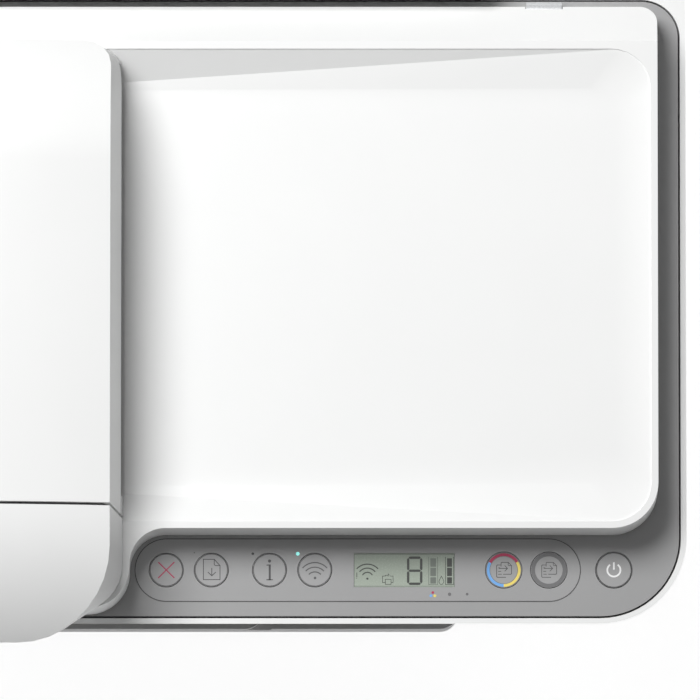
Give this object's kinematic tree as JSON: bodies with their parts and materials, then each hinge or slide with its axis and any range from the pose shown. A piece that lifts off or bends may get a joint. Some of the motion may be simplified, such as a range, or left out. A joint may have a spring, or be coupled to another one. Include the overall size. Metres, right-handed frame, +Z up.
{
  "type": "inkjet printer",
  "caption": "Flatbed inkjet all-in-one printer with a document feeder on its lid, a control deck with round keys, rear paper feed and a sliding front output tray.",
  "frame": {"origin": "middle of the footprint on the surface the printer stands on", "axes": "+X to the right along the width, +Y to the rear, +Z up"},
  "size_m": [0.428, 0.332, 0.2],
  "materials": {
    "white_plastic": "fine satin grain",
    "light_grey_plastic": "fine satin grain",
    "grey_plastic": "fine satin grain",
    "deck_overlay": "satin film",
    "key_plastic": "satin",
    "rubber": "matt",
    "glass": "polished",
    "lcd": "glossy",
    "board": "solder mask",
    "steel": "rolled sheet",
    "dark_plastic": "fine grain",
    "black_plastic": "fine grain",
    "natural_plastic": "moulded",
    "brass": "turned"
  },
  "bodies": {
    "chassis": {"base_tray": "white_plastic", "rubber_feet": "rubber", "housing": "white_plastic", "rear_ramp": "grey_plastic", "scanner_frame": "grey_plastic", "scan_glass": "glass", "strip_glass": "glass", "scan_rail": "steel", "control_overlay": "deck_overlay", "display": "lcd", "control_board": "board", "lid_hinges": "steel", "side_plates": "steel", "platen": "black_plastic", "feed_motor": "steel", "carriage_rail": "steel", "encoder_strip": "natural_plastic", "drive_belt": "black_plastic", "carriage_motor": "steel", "service_base": "dark_plastic", "main_board": "board", "power_unit": "black_plastic", "screws": "steel"},
    "feeder_cover": {"feeder_cover": "white_plastic"},
    "feeder_roller": {"feeder_roller": "rubber"},
    "feeder_pick_roller": {"feeder_pick_roller": "rubber"},
    "scan_bar": {"scan_bar": "black_plastic"},
    "paper_support": {"paper_support": "dark_plastic"},
    "paper_guide_left": {"paper_guide_left": "dark_plastic"},
    "paper_guide_right": {"paper_guide_right": "dark_plastic"},
    "guide_pinion": {"guide_pinion": "natural_plastic"},
    "output_tray": {"output_tray": "light_grey_plastic"},
    "tray_arm": {"tray_arm": "light_grey_plastic"},
    "access_door": {"access_door": "white_plastic"},
    "feed_roller": {"feed_roller": "rubber"},
    "exit_roller": {"exit_roller": "rubber"},
    "pick_roller": {"pick_roller": "rubber"},
    "exit_idler": {"exit_idler": "natural_plastic"},
    "pick_idler": {"pick_idler": "natural_plastic"},
    "motor_pinion": {"motor_pinion": "brass"},
    "carriage": {"carriage": "black_plastic"},
    "cartridge_color": {"cartridge_color": "black_plastic"},
    "cartridge_black": {"cartridge_black": "black_plastic"},
    "motor_pulley": {"motor_pulley": "brass"},
    "idler_pulley": {"idler_pulley": "brass"},
    "service_sled": {"service_sled": "black_plastic"},
    "key_cancel": {"key_cancel": "key_plastic"},
    "key_resume": {"key_resume": "key_plastic"},
    "key_info": {"key_info": "key_plastic"},
    "key_wireless": {"key_wireless": "key_plastic"},
    "key_color": {"key_color": "key_plastic"},
    "key_black": {"key_black": "key_plastic"},
    "key_power": {"key_power": "key_plastic"},
    "lid": {"lid_shell": "white_plastic", "lid_brackets": "white_plastic", "lid_pad": "white_plastic", "feeder_base": "light_grey_plastic", "feeder_nose": "white_plastic", "feeder_motor": "steel"}
  },
  "joints": [
    {"name": "lid_hinge", "type": "hinge", "parent": "chassis", "child": "lid", "pos_m": [0, 0.127, 0.1315], "axis": [-1, 0, 0], "range_deg": [0, 55]},
    {"name": "feeder_cover_hinge", "type": "hinge", "parent": "lid", "child": "feeder_cover", "pos_m": [-0.2008, 0, 0.1592], "axis": [0, -1, 0], "range_deg": [0, 105]},
    {"name": "feeder_roller_turn", "type": "hinge", "parent": "lid", "child": "feeder_roller", "pos_m": [-0.122, 0, 0.145], "axis": [0, 1, 0], "continuous": true},
    {"name": "feeder_pick_turn", "type": "hinge", "parent": "lid", "child": "feeder_pick_roller", "pos_m": [-0.079, 0, 0.1505], "axis": [0, 1, 0], "continuous": true},
    {"name": "scan_bar_slide", "type": "slide", "parent": "chassis", "child": "scan_bar", "axis": [1, 0, 0], "range_m": [0, 0.3]},
    {"name": "support_lift", "type": "slide", "parent": "chassis", "child": "paper_support", "axis": [0, 0.2588, 0.9659], "range_m": [0, 0.095]},
    {"name": "guide_left_slide", "type": "slide", "parent": "chassis", "child": "paper_guide_left", "axis": [1, 0, 0], "range_m": [0, 0.055]},
    {"name": "guide_right_slide", "type": "slide", "parent": "chassis", "child": "paper_guide_right", "axis": [-1, 0, 0], "range_m": [0, 0.055]},
    {"name": "guide_pinion_turn", "type": "hinge", "parent": "chassis", "child": "guide_pinion", "pos_m": [0, 0.14356, 0.11252], "axis": [0, 0.9659, -0.2588], "range_deg": [0, 394]},
    {"name": "output_tray_slide", "type": "slide", "parent": "chassis", "child": "output_tray", "axis": [0, -1, 0], "range_m": [0, 0.095]},
    {"name": "tray_arm_swing", "type": "hinge", "parent": "output_tray", "child": "tray_arm", "pos_m": [-0.0815, -0.13213, 0.032], "axis": [0, 0, -1], "range_deg": [0, 90]},
    {"name": "access_door_hinge", "type": "hinge", "parent": "chassis", "child": "access_door", "pos_m": [0, -0.13369, 0.066], "axis": [1, 0, 0], "range_deg": [0, 80]},
    {"name": "feed_roller_turn", "type": "hinge", "parent": "chassis", "child": "feed_roller", "pos_m": [0, 0.06, 0.035], "axis": [1, 0, 0], "continuous": true},
    {"name": "motor_pinion_turn", "type": "hinge", "parent": "chassis", "child": "motor_pinion", "pos_m": [0, 0.072, 0.05579], "axis": [1, 0, 0], "continuous": true},
    {"name": "exit_idler_turn", "type": "hinge", "parent": "chassis", "child": "exit_idler", "pos_m": [0, 0.02761, 0.02866], "axis": [1, 0, 0], "continuous": true},
    {"name": "exit_roller_turn", "type": "hinge", "parent": "chassis", "child": "exit_roller", "pos_m": [0, 0.002, 0.0372], "axis": [1, 0, 0], "continuous": true},
    {"name": "pick_idler_turn", "type": "hinge", "parent": "chassis", "child": "pick_idler", "pos_m": [0, 0.08849, 0.04042], "axis": [1, 0, 0], "continuous": true},
    {"name": "pick_roller_turn", "type": "hinge", "parent": "chassis", "child": "pick_roller", "pos_m": [0, 0.11613, 0.06189], "axis": [1, 0, 0], "continuous": true},
    {"name": "carriage_slide", "type": "slide", "parent": "chassis", "child": "carriage", "axis": [-1, 0, 0], "range_m": [0, 0.276]},
    {"name": "cartridge_color_lift", "type": "slide", "parent": "carriage", "child": "cartridge_color", "axis": [0, 0, 1], "range_m": [0, 0.005]},
    {"name": "cartridge_black_lift", "type": "slide", "parent": "carriage", "child": "cartridge_black", "axis": [0, 0, 1], "range_m": [0, 0.005]},
    {"name": "motor_pulley_turn", "type": "hinge", "parent": "chassis", "child": "motor_pulley", "pos_m": [-0.185, 0.053, 0.077], "axis": [0, 1, 0], "range_deg": [0, 2636]},
    {"name": "idler_pulley_turn", "type": "hinge", "parent": "chassis", "child": "idler_pulley", "pos_m": [0.192, 0.053, 0.077], "axis": [0, 1, 0], "range_deg": [0, 2636]},
    {"name": "service_sled_drop", "type": "slide", "parent": "chassis", "child": "service_sled", "axis": [0, 0, -1], "range_m": [0, 0.006], "stiffness_N_per_m": 200, "springref_m": -0.004},
    {"name": "key_cancel_press", "type": "slide", "parent": "chassis", "child": "key_cancel", "axis": [0, 0, -1], "range_m": [0, 0.0006], "stiffness_N_per_m": 300, "springref_m": -0.001},
    {"name": "key_resume_press", "type": "slide", "parent": "chassis", "child": "key_resume", "axis": [0, 0, -1], "range_m": [0, 0.0006], "stiffness_N_per_m": 300, "springref_m": -0.001},
    {"name": "key_info_press", "type": "slide", "parent": "chassis", "child": "key_info", "axis": [0, 0, -1], "range_m": [0, 0.0006], "stiffness_N_per_m": 300, "springref_m": -0.001},
    {"name": "key_wireless_press", "type": "slide", "parent": "chassis", "child": "key_wireless", "axis": [0, 0, -1], "range_m": [0, 0.0006], "stiffness_N_per_m": 300, "springref_m": -0.001},
    {"name": "key_color_press", "type": "slide", "parent": "chassis", "child": "key_color", "axis": [0, 0, -1], "range_m": [0, 0.0006], "stiffness_N_per_m": 300, "springref_m": -0.001},
    {"name": "key_black_press", "type": "slide", "parent": "chassis", "child": "key_black", "axis": [0, 0, -1], "range_m": [0, 0.0006], "stiffness_N_per_m": 300, "springref_m": -0.001},
    {"name": "key_power_press", "type": "slide", "parent": "chassis", "child": "key_power", "axis": [0, 0, -1], "range_m": [0, 0.0006], "stiffness_N_per_m": 300, "springref_m": -0.001}
  ],
  "couplings": [
    {"joint": "feeder_pick_turn", "follows": "feeder_roller_turn", "ratio": 1.7},
    {"joint": "guide_right_slide", "follows": "guide_left_slide", "ratio": 1},
    {"joint": "guide_pinion_turn", "follows": "guide_left_slide", "rad_per_m": 125},
    {"joint": "motor_pinion_turn", "follows": "feed_roller_turn", "ratio": -3},
    {"joint": "exit_idler_turn", "follows": "feed_roller_turn", "ratio": -1.2},
    {"joint": "exit_roller_turn", "follows": "feed_roller_turn", "ratio": 1.5},
    {"joint": "pick_idler_turn", "follows": "feed_roller_turn", "ratio": -1.6364},
    {"joint": "pick_roller_turn", "follows": "feed_roller_turn", "ratio": 0.75},
    {"joint": "motor_pulley_turn", "follows": "carriage_slide", "rad_per_m": 166.67},
    {"joint": "idler_pulley_turn", "follows": "carriage_slide", "rad_per_m": 166.67}
  ]
}
